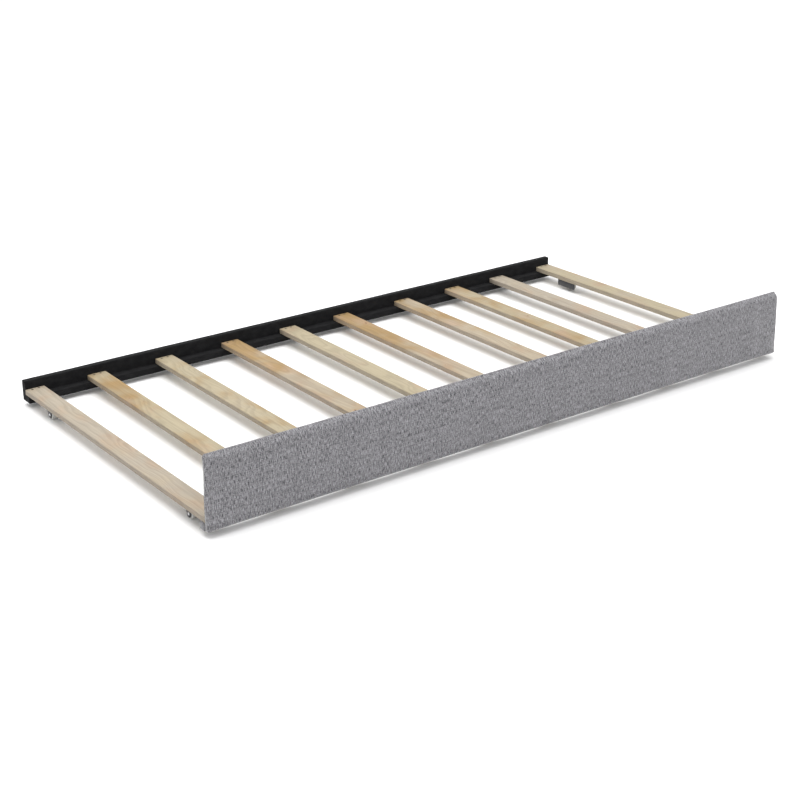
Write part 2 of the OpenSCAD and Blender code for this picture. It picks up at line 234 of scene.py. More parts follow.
def softwood(name, seed, middle, pale, honey, warm, rear=0.0, knots=()):
    """Bare planed softwood sawn along y: growth rings about a pith outside the board. Pale
    wood turns to honey in patches, more so at the rear by rear, and blushes warm. knots are
    (x, y, size) in mm, with x from the board's middle."""
    rng = random.Random(seed)
    s = Shader(name, {"Roughness": 0.62, "Specular IOR Level": 0.35})
    x, y, z = s.split(s.place())
    x, z = x - middle.x * 1000.0, z - middle.z * 1000.0
    length = y + rng.uniform(-900.0, 900.0)
    # Knots push the rings aside
    push, core, halo = 0.0, 0.0, 0.0
    for knot_x, knot_y, size in knots:
        dx, dy = (x - knot_x) / size, (y - knot_y) / size
        wobble = s.noise(s.vector(dx, dy, seed * 0.7), scale=1.6, detail=1.0) - 0.5
        near = s.math("SQRT", dx * dx + dy * dy * 0.55) + wobble * 0.6
        push = push + s.step(near, 0.0, 5.0, 7.0, 0.0)
        core = s.math("MAXIMUM", core, s.step(near, 0.7, 1.15, 1.0, 0.0))
        halo = s.math("MAXIMUM", halo, s.step(near, 0.6, 2.6, 1.0, 0.0))
    # Rings about the pith, which lies to one side and below, and runs at a slant
    wave = (s.noise(s.vector(x / 70.0, length / 240.0, z / 70.0)) - 0.5) * 34.0
    across = rng.choice((-1, 1)) * rng.uniform(8.0, 70.0)
    below = rng.uniform(26.0, 95.0)
    slant_x, slant_z = rng.uniform(-0.035, 0.035), rng.uniform(-0.03, 0.03)
    pith_x, pith_z = x - across + y * slant_x, z + (y * slant_z + below)
    radius = s.math("SQRT", pith_x * pith_x + pith_z * pith_z) + wave + push
    uneven = s.noise(s.vector(radius / 11.0, seed * 1.3), detail=1.0)
    ring_width = rng.uniform(3.4, 5.2)
    ring = s.math("FRACT", radius / ring_width + uneven * 3.0)
    late = s.step(ring, 0.15, 0.86) * s.step(ring, 0.9, 1.0, 1.0, 0.0)
    # Fibres, pores and long patches of colour
    fibre = s.noise(s.vector(x / 0.9, length / 42.0, z / 0.9), detail=3.0, rough=0.6)
    streak = s.noise(s.vector(x / 6.5, length / 150.0, z / 6.5))
    patch = s.noise(s.vector(x / 80.0, length / 135.0, seed * 2.9), rough=0.55)
    blush = s.noise(s.vector(x / 60.0, length / 95.0, seed * 5.1 + 4))
    pore = s.noise(s.vector(x / 0.55, length / 5.5, z / 0.55), detail=1.0)
    rearward = s.step(y, -20.0, 470.0) * rear
    colour = s.mix(s.step(patch + rearward, 0.45, 0.80), pale, honey)
    colour = s.mix(s.step(blush, 0.46, 0.78, 0.0, 0.75), colour, warm)
    colour = s.scaled(colour, s.step(late, 0.0, 1.0, 1.035, 0.91))
    colour = s.scaled(colour, s.step(fibre, 0.2, 0.8, 0.92, 1.08))
    colour = s.scaled(colour, s.step(streak, 0.25, 0.75, 0.94, 1.05))
    colour = s.scaled(colour, s.step(pore, 0.18, 0.34, 0.86, 1.0))
    if knots:
        colour = s.mix(halo * 0.5, colour, KNOT_HALO)
        colour = s.mix(core * 0.92, colour, KNOT_CORE)
    # Rough sawn edges and end grain hold more dust than the planed faces. The sawn sides are also
    # darker all over, a painted shade for facing sideways, away from the light from above.
    nx, ny, _ = s.split(s.normal())
    edge, cut = s.step(abs(nx), 0.75, 0.97), s.step(abs(ny), 0.6, 0.95)
    saw = s.noise(s.vector(y / 1.3, z / 9.0, 3.0), detail=1.0)
    grime_and_shade = s.noise(s.vector(y / 60.0, z / 4.0, seed), detail=3.0)
    # Painted shade on the sawn sides: their colour is scaled to between 0.72 and 0.92 all over,
    # unevenly in patches
    sawn = s.scaled(s.mix(0.42, colour, DUST), s.step(grime_and_shade, 0.3, 0.7, 0.7224, 0.924))
    ends = s.scaled(s.mix(0.3, colour, END_GRAIN), 0.9)
    colour = s.mix(cut, s.mix(edge, colour, sawn), ends)
    height = fibre * 0.6 + late * -0.35 + saw * edge * 1.6 + pore * 0.25
    rough = s.step(fibre, 0.2, 0.8, 0.66, 0.56) + edge * 0.18
    return s.finish(colour, rough, s.bump(height, 0.00018, 0.6))


def coated_steel(name, colour, seed, wear=0.35):
    """Dark coated sheet steel: orange peel, dull scuffs and rubbed bright specks."""
    s = Shader(name, {"Roughness": 0.4})
    place = s.place()
    peel = s.noise(place, scale=1.3)
    scuff = s.noise(place, scale=0.16, detail=5.0, rough=0.7)
    speck = s.noise(place, scale=0.8, detail=4.0, rough=0.75, distortion=seed)
    rub = s.step(speck, 0.6, 0.72) * s.step(scuff, 0.42, 0.62)
    tint = s.mix(s.step(scuff, 0.35, 0.7), colour, [c * 1.9 + 0.006 for c in colour])
    tint = s.mix(rub * wear, tint, BARE_METAL)
    return s.finish(tint, s.step(scuff, 0.3, 0.7, 0.34, 0.6), s.bump(peel, 0.00012, 0.5))


def plated_steel(name, colour, rough=0.32):
    """Zinc-plated or blackened steel, finely mottled."""
    s = Shader(name, {"Roughness": rough, "Metallic": 1.0})
    place = s.place()
    mottle = s.noise(place, scale=0.55, detail=4.0, rough=0.65)
    line = s.noise(place, scale=2.6, detail=3.0)
    tint = s.scaled(colour, s.step(mottle, 0.3, 0.7, 0.72, 1.12))
    uneven = s.step(mottle, 0.3, 0.7, rough + 0.16, rough - 0.06)
    return s.finish(tint, uneven, s.bump(line, 0.00006, 0.5))


def moulded_nylon(name):
    """Pale grey nylon, scuffed on the tread."""
    s = Shader(name, {"Roughness": 0.5, "Specular IOR Level": 0.45, "Subsurface Weight": 0.04,
                      "Subsurface Radius": (0.004, 0.004, 0.004)})
    place = s.place()
    x, y, z = s.split(place)
    tread = s.step(abs(s.split(s.normal())[0]), 0.25, 0.7, 1.0, 0.0)
    cloud = s.noise(place, scale=0.12, detail=3.0)
    scratch = s.noise(s.vector(x * 0.25, y * 2.2, z * 2.2), detail=4.0, rough=0.7, distortion=0.8)
    tint = s.mix(s.step(cloud, 0.3, 0.7), (0.50, 0.50, 0.475), (0.62, 0.62, 0.60))
    dirt = tread * s.step(scratch, 0.45, 0.62, 0.1, 0.7)
    tint = s.mix(dirt, tint, TREAD_DIRT)
    height = s.noise(place, scale=3.2) + scratch * tread * 2.0
    return s.finish(tint, s.step(scratch, 0.3, 0.7, 0.42, 0.62), s.bump(height, 0.0001, 0.5))


def particle_board(name):
    """Pressed wood chips, light and dark."""
    s = Shader(name, {"Roughness": 0.85, "Specular IOR Level": 0.2})
    place = s.place()
    chips = s.field("ShaderNodeTexVoronoi", {"Vector": place, "Scale": 0.45}, "Color")
    tone = (chips + s.noise(place, scale=0.9, detail=3.0)) * 0.5
    tint = s.mix(tone, (0.34, 0.24, 0.14), (0.66, 0.52, 0.34))
    return s.finish(tint, None, s.bump(tone, 0.0003, 0.6))


LINEN = woven("linen", (0.308, 0.303, 0.319), (0.058, 0.057, 0.062))
BLACK_WRAP = nonwoven("black_wrap", (0.0062, 0.0062, 0.0068), (0.0125, 0.0125, 0.0132))
LINING = nonwoven("lining", (0.015, 0.015, 0.016), (0.026, 0.026, 0.027), emboss=2.4)
ZINC = plated_steel("zinc", (0.66, 0.66, 0.67))
DARK_SCREW = plated_steel("dark_screw", (0.11, 0.10, 0.095), rough=0.42)
BLACK_STEEL = coated_steel("black_steel", (0.014, 0.014, 0.0155), 0.3)
FORK_STEEL = coated_steel("fork_steel", (0.019, 0.019, 0.021), 0.9, wear=0.6)
NYLON = moulded_nylon("wheel_grey")
BOARD = particle_board("board")

PALE = (0.343, 0.286, 0.207)
HONEY = (0.285, 0.187, 0.079)
WARM = (0.338, 0.235, 0.156)
GREY_WOOD = (0.326, 0.282, 0.221)
YELLOW_WOOD = (0.340, 0.290, 0.195)
# What softwood takes for each slat from left to right: its pale, honey and warm colours, how
# far its rear turns to honey, and its knots
SLAT_LOOKS = (
    (GREY_WOOD, PALE, WARM, 0.0, ()),
    (YELLOW_WOOD, HONEY, WARM, 0.12,
     ((-12.0, 262.0, 1.7), (7.0, 214.0, 1.2), (15.0, -330.0, 2.4))),
    (YELLOW_WOOD, PALE, HONEY, 0.0, ()),
    (PALE, HONEY, WARM, 0.37, ((-9.0, -180.0, 3.0),)),
    (YELLOW_WOOD, PALE, WARM, -0.1, ()),
    (PALE, HONEY, WARM, 0.45, ((14.0, 372.0, 3.4), (-16.0, -60.0, 1.5))),
    (PALE, HONEY, WARM, 0.16, ()),
    (YELLOW_WOOD, HONEY, WARM, 0.12, ((10.0, 120.0, 2.2),)),
    (GREY_WOOD, PALE, WARM, 0.0, ()),
    (YELLOW_WOOD, GREY_WOOD, WARM, 0.0, ((-14.0, -240.0, 2.0),)),
)


# ---------------------------------------------------------------------- meshes

MERGE = 2e-6            # corners of a CAD mesh that are closer than this are one
FLAT_ANGLE = 0.6        # degrees: faces that meet at less are one face
SHARP_ANGLE = 25.0      # degrees: edges that turn more are eased


def make_object(name, mesh, material, body="bed", slot=None, replaces=()):
    """A piece of the bed, riding on body, in material. The CAD nodes in replaces are hidden. slot
    is not used.
    """
    piece = bpy.data.objects.new(name, mesh)
    bpy.context.scene.collection.objects.link(piece)
    mesh.materials.clear()
    mesh.materials.append(material)
    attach(piece, body)
    slot or material.name.split(".")[0]
    if replaces:
        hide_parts(*replaces)
    return piece


def from_bmesh(bm, name, angle=32.0):
    """A mesh shaded smooth, but kept sharp where faces meet at more than angle degrees."""
    mesh = bpy.data.meshes.new(name)
    bm.normal_update()
    bm.to_mesh(mesh)
    bm.free()
    mesh.shade_smooth()
    mesh.set_sharp_from_angle(angle=math.radians(angle))
    mesh.update()
    return mesh


def clamp(value):
    return min(1.0, max(0.0, value))


def bevel(bm, edges, width, segments, profile=0.5):
    return bmesh.ops.bevel(bm, geom=edges, offset=width, segments=segments, profile=profile,
                           affect="EDGES", clamp_overlap=True)


def rotate(bm, verts, angle, axis):
    bmesh.ops.rotate(bm, verts=verts, cent=(0, 0, 0), matrix=Matrix.Rotation(angle, 3, axis))


def shift(bm, by):
    bmesh.ops.translate(bm, verts=bm.verts, vec=by)


def refined(node, width, segments=2, bends=()):
    """A CAD node's shape as clean faces with its edges eased. bends are (test, width) pairs
    for edges that are rounded more, such as where sheet steel is folded."""
    bm = bmesh.new()
    bm.from_mesh(nodes[node].data)
    bmesh.ops.remove_doubles(bm, verts=bm.verts, dist=MERGE)
    bmesh.ops.dissolve_limit(bm, angle_limit=math.radians(FLAT_ANGLE), verts=bm.verts,
                             edges=bm.edges)
    bm.normal_update()
    limit = math.radians(SHARP_ANGLE)

    def sharp():
        return [e for e in bm.edges if len(e.link_faces) == 2 and e.calc_face_angle(0.0) > limit]

    for test, amount in bends:
        edges = [e for e in sharp() if test(e)]
        if edges:
            bevel(bm, edges, amount, 5)
            bm.normal_update()
    bevel(bm, sharp(), width, segments, profile=0.6)
    return from_bmesh(bm, node)


def lathe(profile, steps):
    """Turns (radius, height) points about z. The first and last radius may be 0."""
    bm = bmesh.new()
    rings = []
    for radius, height in profile:
        if radius == 0:
            rings.append([bm.verts.new((0, 0, height))])
            continue
        angles = [2 * math.pi * i / steps for i in range(steps)]
        rings.append([bm.verts.new((radius * math.cos(a), radius * math.sin(a), height))
                      for a in angles])
    for low, high in zip(rings, rings[1:]):
        for i in range(steps):
            j = (i + 1) % steps
            corners = (low[i % len(low)], low[j % len(low)],
                       high[j % len(high)], high[i % len(high)])
            bm.faces.new(list(dict.fromkeys(corners)))
    bmesh.ops.recalc_face_normals(bm, faces=bm.faces)
    return bm


def arc(cx, cy, radius, start, end, steps):
    """Points on an arc, angles in degrees."""
    angles = [math.radians(start + (end - start) * i / steps) for i in range(steps + 1)]
    return [(cx + radius * math.cos(a), cy + radius * math.sin(a)) for a in angles]


def copies(bm, places):
    """One bmesh repeated at several matrices."""
    source = bpy.data.meshes.new("source")
    bm.to_mesh(source)
    bm.free()
    out = bmesh.new()
    for place in places:
        piece = source.copy()
        piece.transform(place)
        out.from_mesh(piece)
        bpy.data.meshes.remove(piece)
    bpy.data.meshes.remove(source)
    return out


def bend(a, b):
    """The angle from one direction in a section to another, anticlockwise."""
    return math.atan2(a.x * b.y - a.y * b.x, a.dot(b))


def outline(corners, spacing):
    """A closed (y, z) section with rounded corners. corners are (y, z, radius), anticlockwise.
    Returns (y, z, normal y, normal z) points."""
    points = []
    count = len(corners)
    for i in range(count):
        before, here, after, beyond = (Vector(corners[(i + k) % count][:2]) for k in (-1, 0, 1, 2))
        radius, next_radius = corners[i][2], corners[(i + 1) % count][2]
        d0, d1, d2 = ((b - a).normalized()
                      for a, b in ((before, here), (here, after), (after, beyond)))
        turn = bend(d0, d1)
        start = here - d0 * (radius * math.tan(abs(turn) / 2))
        side = 1.0 if turn > 0 else -1.0
        n0 = Vector((d0.y, -d0.x))
        centre = start - n0 * radius * side
        steps = max(3, int(abs(turn) * radius / (spacing * 0.35)))
        for k in range(steps + 1):
            a = turn * k / steps
            n = Vector((n0.x * math.cos(a) - n0.y * math.sin(a),
                        n0.x * math.sin(a) + n0.y * math.cos(a)))
            p = centre + n * radius * side
            points.append((p.x, p.y, n.x, n.y))
        # Even points along the straight run to the next corner
        begin = Vector(points[-1][:2])
        stop = after - d1 * next_radius * math.tan(abs(bend(d1, d2)) / 2)
        steps = max(1, round((stop - begin).length / spacing))
        n = Vector((d1.y, -d1.x))
        for k in range(1, steps):
            p = begin.lerp(stop, k / steps)
            points.append((p.x, p.y, n.x, n.y))
    return points


def wrapped_bar(corners, x0, x1, end_radius, spacing, step, ripple=0.0, seed=1.0, reshape=None):
    """Cloth wrapped tightly round a bar along x, with a UV map that is the cloth laid flat.
    corners are outline's, and spacing and step are the mesh's fineness round and along."""
    section = outline(corners, spacing)
    girth = [0.0]
    for a, b in zip(section, section[1:] + section[:1]):
        girth.append(girth[-1] + math.hypot(b[0] - a[0], b[1] - a[1]))
    # Stations along the bar: place, distance inside the section, and place on the flat cloth
    turns = 5
    rounding = []
    for k in range(turns + 1):
        a = math.pi / 2 * k / turns
        rounding.append((end_radius * (1 - math.cos(a)), end_radius * (1 - math.sin(a)),
                         end_radius * (a - math.pi / 2)))
    stations = [(x0 + x, inset, x0 + u) for x, inset, u in rounding]
    straight = x1 - x0 - 2 * end_radius
    count = max(2, round(straight / step))
    for k in range(1, count):
        x = x0 + end_radius + straight * k / count
        stations.append((x, 0.0, x))
    stations += [(x1 - x, inset, x1 - u) for x, inset, u in rounding[::-1]]
    bm = bmesh.new()
    uv = bm.loops.layers.uv.new("cloth")
    rings = []
    for x, inset, _ in stations:
        ring = []
        for y, z, ny, nz in section:
            p = Vector((x, y - ny * inset, z - nz * inset))
            if ripple:
                q = Vector((p.x * 9.0, p.y * 34.0 + seed, p.z * 34.0))
                sway = noise.noise(q) + 0.5 * noise.noise(q * 2.3)
                p += Vector((0, ny, nz)) * sway * ripple
            if reshape:
                p = reshape(p)
            ring.append(bm.verts.new(p))
        rings.append(ring)
    for i, (near, far) in enumerate(zip(rings, rings[1:])):
        u0, u1 = stations[i][2], stations[i + 1][2]
        for j in range(len(section)):
            k = (j + 1) % len(section)
            v0, v1 = girth[j], girth[j + 1]
            face = bm.faces.new((near[j], near[k], far[k], far[j]))
            for loop, place in zip(face.loops, ((u0, v0), (u0, v1), (u1, v1), (u1, v0))):
                loop[uv].uv = place
    for ring in (rings[0][::-1], rings[-1]):
        for loop in bm.faces.new(ring).loops:
            loop[uv].uv = (loop.vert.co.y, loop.vert.co.z)
    bmesh.ops.recalc_face_normals(bm, faces=bm.faces)
    return bm


def flap(name, corners, x, out, material, thickness=0.0006, sunk=None):
    """A folded corner of cloth lying flat on a wrapped end at x, as (y, z) corners. out is +1
    or -1 along x, and sunk says how far the end lies inside x at a height."""
    bm = bmesh.new()
    uv = bm.loops.layers.uv.new("cloth")
    tucked = 0.0006
    near = [bm.verts.new((x - out * tucked, y, z)) for y, z in corners]
    far = [bm.verts.new((x + out * thickness, y, z)) for y, z in corners]
    bm.faces.new(near)
    bm.faces.new(far[::-1])
    for i in range(len(near)):
        j = (i + 1) % len(near)
        bm.faces.new((near[i], far[i], far[j], near[j]))
    bmesh.ops.recalc_face_normals(bm, faces=bm.faces)
    bevel(bm, list(bm.edges), thickness * 0.55, 3)
    if sunk:
        for vert in bm.verts:
            vert.co.x -= out * sunk(vert.co.z)
    slant = 0.7071          # the cloth lies at 45 degrees in a fold
    for face in bm.faces:
        for loop in face.loops:
            co = loop.vert.co
            loop[uv].uv = ((co.y + co.z) * slant, (co.z - co.y) * slant + co.x)
    make_object(name, from_bmesh(bm, name, 60.0), material)


# ---------------------------------------------------------- padded front panel

cover_low, cover_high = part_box("front_cover")
half_l = cover_high.x
COVER_EASE = 0.0012     # how far inside its CAD box the cover starts, so that it may swell
SWELL_LIMIT = 0.0024    # how far the simulation may move a point
SWELL_FRAMES = 20
SEAM = 0.004            # width of the strip at each end that the simulation leaves alone
PLEAT_REACH = 0.09      # how far from a top corner its pleats can pull
TURN_IN = 0.034         # width of the border that is turned in behind
TURN_IN_STEP = 0.0026   # how far the back steps in past that border
DRAW_IN = 0.003         # how far the cover draws the panel's ends in at the top
DRAW_IN_FROM = 0.05     # height above the panel's foot where that begins
TOP_ROUND = (0.014, 0.004)      # corner radii seen from the front: the front edge's, the back's
FOOT_ROUND = (0.006, 0.003)
LEAST_ROUND = 0.001


def drawn_in(z):
    """How far the cover draws the panel's ends in at a height."""
    foot = cover_low.z
    climb = clamp((z - foot - DRAW_IN_FROM) / (cover_high.z - foot - DRAW_IN_FROM))
    return DRAW_IN * climb * climb * (3 - 2 * climb)


def soften_corner(p, inset=0.0):
    """Rounds the panel's corners seen from the front: more in front, tight at the back. A
    piece inside the cover has the same corners, a constant inset inside them."""
    p = Vector((p.x * (1 - drawn_in(p.z) / half_l), p.y, p.z))
    depth = clamp((p.y - cover_low.y) / (cover_high.y - cover_low.y))
    for (front, back), z_edge, up in ((TOP_ROUND, cover_high.z - inset, 1),
                                      (FOOT_ROUND, cover_low.z + inset, -1)):
        radius = max(front + (back - front) * depth - inset, LEAST_ROUND)
        cx, cz = half_l - drawn_in(p.z) - inset - radius, z_edge - up * radius
        dx, dz = abs(p.x) - cx, (p.z - cz) * up
        reach = math.hypot(dx, dz)
        if dx > 0 and dz > 0 and reach > radius:
            x = math.copysign(cx + dx / reach * radius, p.x)
            p = Vector((x, p.y, cz + up * dz / reach * radius))
    return p


def front_pad():
    """The cover over its foam: crowned in front, tight over the edges, turned in behind."""
    low_y, high_y = cover_low.y + COVER_EASE, cover_high.y
    low_z, high_z = cover_low.z + 0.0004, cover_high.z - COVER_EASE
    end = half_l - 0.0008
    corners = [(low_y, low_z, 0.0075), (high_y, low_z, 0.0028),
               (high_y, high_z, 0.003), (low_y, high_z, 0.018)]
    bm = wrapped_bar(corners, -end, end, 0.0062, spacing=0.0085, step=0.0095,
                     reshape=soften_corner)
    mesh = from_bmesh(bm, "front_pad", 80.0)
    piece = make_object("front_pad", mesh, LINEN, replaces=("front_cover", "front_foam"))
    start = [v.co.copy() for v in mesh.vertices]
    # The seams at the back and the ends don't move
    held = piece.vertex_groups.new(name="held")
    for v in mesh.vertices:
        back = (v.co.y - low_y) / (high_y - low_y)
        away = (half_l - abs(v.co.x)) / SEAM
        held.add([v.index], max(clamp((back - 0.55) / 0.3), clamp(1.0 - away)), "REPLACE")
    inflate(piece, mesh, start, held)
    settle_pad(mesh, start, low_y, high_y)
    smooth = piece.modifiers.new("smooth", "SUBSURF")
    smooth.levels = smooth.render_levels = 1


def inflate(piece, mesh, start, held):
    """Blows the cover up against its seams, then limits how far each point has gone."""
    cloth = piece.modifiers.new("cloth", "CLOTH")
    settings = cloth.settings
    settings.quality = 6
    settings.mass = 0.35
    settings.tension_stiffness = settings.compression_stiffness = 22.0
    settings.shear_stiffness = 9.0
    settings.bending_stiffness = 0.9
    settings.use_pressure = True
    settings.uniform_pressure_force = 4.0
    settings.vertex_group_mass = held.name
    settings.effector_weights.gravity = 0.0
    cloth.collision_settings.use_collision = False
    cloth.collision_settings.use_self_collision = False
    scene = bpy.context.scene
    for number in range(1, SWELL_FRAMES + 1):
        scene.frame_set(number)
    swollen = piece.evaluated_get(bpy.context.evaluated_depsgraph_get())
    moved = [v.co.copy() for v in swollen.to_mesh().vertices]
    swollen.to_mesh_clear()
    piece.modifiers.remove(cloth)
    scene.frame_set(1)
    for v, a, b in zip(mesh.vertices, start, moved):
        step = b - a
        if step.length > SWELL_LIMIT:
            step *= SWELL_LIMIT / step.length
        v.co = a + step


def settle_pad(mesh, start, low_y, high_y):
    """Small pulls in the cloth towards its corners, and the turned-in border behind."""
    for v, a in zip(mesh.vertices, start):
        q = Vector((a.x * 5.0, a.y * 20.0, a.z * 11.0))
        front = clamp((high_y - a.y) / (high_y - low_y))
        v.co.y -= front * (0.0004 * noise.noise(q) + 0.0002 * noise.noise(q * 2.7))
        v.co.z += front * 0.00025 * noise.noise(q * 1.9 + Vector((5, 0, 0)))
        # The pull of the pleats at the ends of the top edge
        end, top = half_l - abs(a.x), cover_high.z - a.z
        if end < PLEAT_REACH and top < PLEAT_REACH and front > 0.2:
            fan = math.atan2(top + 0.004, end + 0.004)
            reach = math.hypot(end, top)
            fade = math.exp(-reach / 0.035) * min(1.0, reach / 0.012)
            v.co.y += 0.0007 * fade * math.sin(fan * 13.0)
        inside = min(end, a.z - cover_low.z, top)
        if a.y > high_y - 1e-5 and inside > TURN_IN:
            v.co.y = high_y - TURN_IN_STEP


def front_board():
    """The board inside the cover, its front edges eased so that none shows through."""
    low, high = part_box("front_board")
    ease_front, ease_edge, ease_round = 0.0015, 0.002, 0.0015
    inset = half_l - high.x + ease_round
    front_y, low_z, high_z = low.y + ease_front, low.z + ease_edge, high.z - ease_edge
    corners = [(front_y, low_z, 0.003), (high.y, low_z, 0.001),
               (high.y, high_z, 0.001), (front_y, high_z, 0.009)]
    bm = wrapped_bar(corners, low.x + ease_edge, high.x - ease_edge, 0.001,
                     spacing=0.006, step=0.012,
                     reshape=lambda p: soften_corner(p, inset) if p.z > 0.1 else p)
    make_object("front_board_eased", from_bmesh(bm, "front_board_eased"), BOARD,
                replaces=("front_board",))


def lining():
    """Black dust cloth stapled over the back, drawn tight and sunk a little over the board."""
    low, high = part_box("front_lining")
    cols, rows = 236, 24
    border, slope, sunk = 0.022, 0.008, 0.0010
    staple_pitch = 0.0758
    thick = (high.y - low.y) * 0.9
    bm = bmesh.new()
    uv = bm.loops.layers.uv.new("cloth")
    sheets = []
    for back in (0.0, thick):
        grid = []
        for i in range(cols + 1):
            line = []
            for j in range(rows + 1):
                x = low.x + (high.x - low.x) * i / cols
                z = low.z + (high.z - low.z) * j / rows
                sink = clamp((min(x - low.x, high.x - x, high.z - z) - border) / slope)
                sink = sink * sink * (3 - 2 * sink)
                q = Vector((x * 7.0, 3.0, z * 26.0))
                y = high.y - sunk * sink + 0.00016 * noise.noise(q) * sink
                # Between its staples the top edge sags a little
                near = math.exp(-(high.z - z) / 0.02)
                scallop = 0.5 - 0.5 * math.cos(2 * math.pi * x / staple_pitch)
                edge = 0.0006 * scallop * max(0.0, 1 - (high.z - z) / 0.006)
                y -= 0.00018 * near * scallop
                line.append(bm.verts.new((x, y - back, z - edge)))
            grid.append(line)
        sheets.append(grid)
    outer, inner = sheets
    faces = []
    for grid, order in ((outer, 1), (inner, -1)):
        for i in range(cols):
            for j in range(rows):
                quad = (grid[i][j], grid[i][j + 1], grid[i + 1][j + 1], grid[i + 1][j])
                faces.append(bm.faces.new(quad[::order]))
    rim = [(i, 0) for i in range(cols)] + [(cols, j) for j in range(rows)]
    rim += [(i, rows) for i in range(cols, 0, -1)] + [(0, j) for j in range(rows, 0, -1)]
    for (i, j), (k, m) in zip(rim, rim[1:] + rim[:1]):
        faces.append(bm.faces.new((outer[i][j], outer[k][m], inner[k][m], inner[i][j])))
    for face in faces:
        for loop in face.loops:
            loop[uv].uv = (loop.vert.co.x, loop.vert.co.z)
    bmesh.ops.recalc_face_normals(bm, faces=bm.faces)
    piece = make_object("dust_lining", from_bmesh(bm, "dust_lining", 40.0), LINING,
                        replaces=("front_lining",))


front_pad()
front_board()

# Pleats where the cover is folded over the ends of the front panel
top, front, back = cover_high.z, cover_low.y, cover_high.y - 0.0068
for side, tag in SIDES:
    flap(f"front_pleat_{tag}",
         [(back, top - 0.009), (front + 0.0105, top - 0.0145), (back, top - 0.037)],
         side * (half_l - 0.0009), side, LINEN, thickness=0.0008, sunk=drawn_in)

lining()

# Linen strip round the front ledger
END_GAP = 0.0006        # how far a wrap stays inside its CAD box at each end
low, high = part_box("front_ledger_wrap")
bm = wrapped_bar([(low.y, low.z, 0.0012), (high.y, low.z, 0.0022),
                  (high.y, high.z, 0.0022), (low.y, high.z, 0.0012)],
                 low.x + END_GAP, high.x - END_GAP, 0.002, spacing=0.005, step=0.010,
                 ripple=0.0003, seed=4.0)
make_object("front_ledger_cloth", from_bmesh(bm, "front_ledger_cloth", 50.0), LINEN,
            replaces=("front_ledger_wrap",))
for side, tag in SIDES:
    flap(f"front_ledger_fold_{tag}",
         [(low.y + 0.003, high.z - 0.003), (high.y - 0.003, high.z - 0.003),
          (high.y - 0.008, high.z - 0.011), (low.y + 0.008, high.z - 0.011)],
         side * (high.x - END_GAP), side, LINEN)


# ------------------------------------------------------------------- rear rail

low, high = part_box("rear_wrap")
board_low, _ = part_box("rear_board")
_, ledger_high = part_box("rear_ledger")
skin = board_low.x - low.x
step_y, step_z = board_low.y - skin, ledger_high.z + skin
bm = wrapped_bar([(low.y, low.z, 0.0024), (high.y, low.z, 0.0024), (high.y, high.z, 0.0024),
                  (step_y, high.z, 0.0024), (step_y, step_z, 0.0015), (low.y, step_z, 0.0024)],
                 low.x + END_GAP, high.x - END_GAP, 0.0021, spacing=0.006, step=0.009,
                 ripple=0.0004, seed=9.0)
make_object("rear_rail_cloth", from_bmesh(bm, "rear_rail_cloth", 50.0), BLACK_WRAP,
            replaces=("rear_wrap",))
for side, tag in SIDES:
    x = side * (high.x - END_GAP)
    flap(f"rear_rail_fold_top_{tag}",
         [(step_y + 0.003, high.z - 0.003), (high.y - 0.003, high.z - 0.003),
          (high.y - 0.010, high.z - 0.014), (step_y + 0.010, high.z - 0.014)],
         x, side, BLACK_WRAP)
    flap(f"rear_rail_fold_side_{tag}",
         [(step_y + 0.0025, low.z + 0.004), (high.y - 0.003, low.z + 0.004),
          (high.y - 0.003, low.z + 0.012), (step_y + 0.0025, low.z + 0.019)],
         x, side, BLACK_WRAP)


# ----------------------------------------------------------------------- slats

for number, look in enumerate(SLAT_LOOKS, 1):
    name = f"slat_{number:02d}"
    low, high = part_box(name)
    wood = softwood(f"slat_wood_{number:02d}", 11 + 7 * number, (low + high) / 2, *look)
    make_object(f"{name}_board", refined(name, 0.0006, segments=3), wood, slot="slat_wood",
                replaces=(name,))


# ------------------------------------------------------------------- fasteners

SINK = 0.0022           # depth of a countersunk head
PAN = 0.0016            # height of a pan head
TIP = 0.003             # length of a screw's point
RECESS = 1.15           # a cross recess's length to its head's radius
TURNED = 36             # sides of a screw


def shells(node):
    """The middle, lowest and highest corner of each separate solid in a CAD node."""
    bm = bmesh.new()
    bm.from_mesh(nodes[node].data)
    bmesh.ops.remove_doubles(bm, verts=bm.verts, dist=MERGE)
    left, found = set(bm.verts), []
    while left:
        seed = left.pop()
        group, queue = [seed], [seed]
        while queue:
            for edge in queue.pop().link_edges:
                for vert in edge.verts:
                    if vert in left:
                        left.remove(vert)
                        group.append(vert)
                        queue.append(vert)
        low = Vector([min(v.co[k] for v in group) for k in range(3)])
        high = Vector([max(v.co[k] for v in group) for k in range(3)])
        found.append(((low + high) / 2, low, high))
    bm.free()
    return sorted(found, key=lambda item: (round(item[0].x, 4), item[0].y))


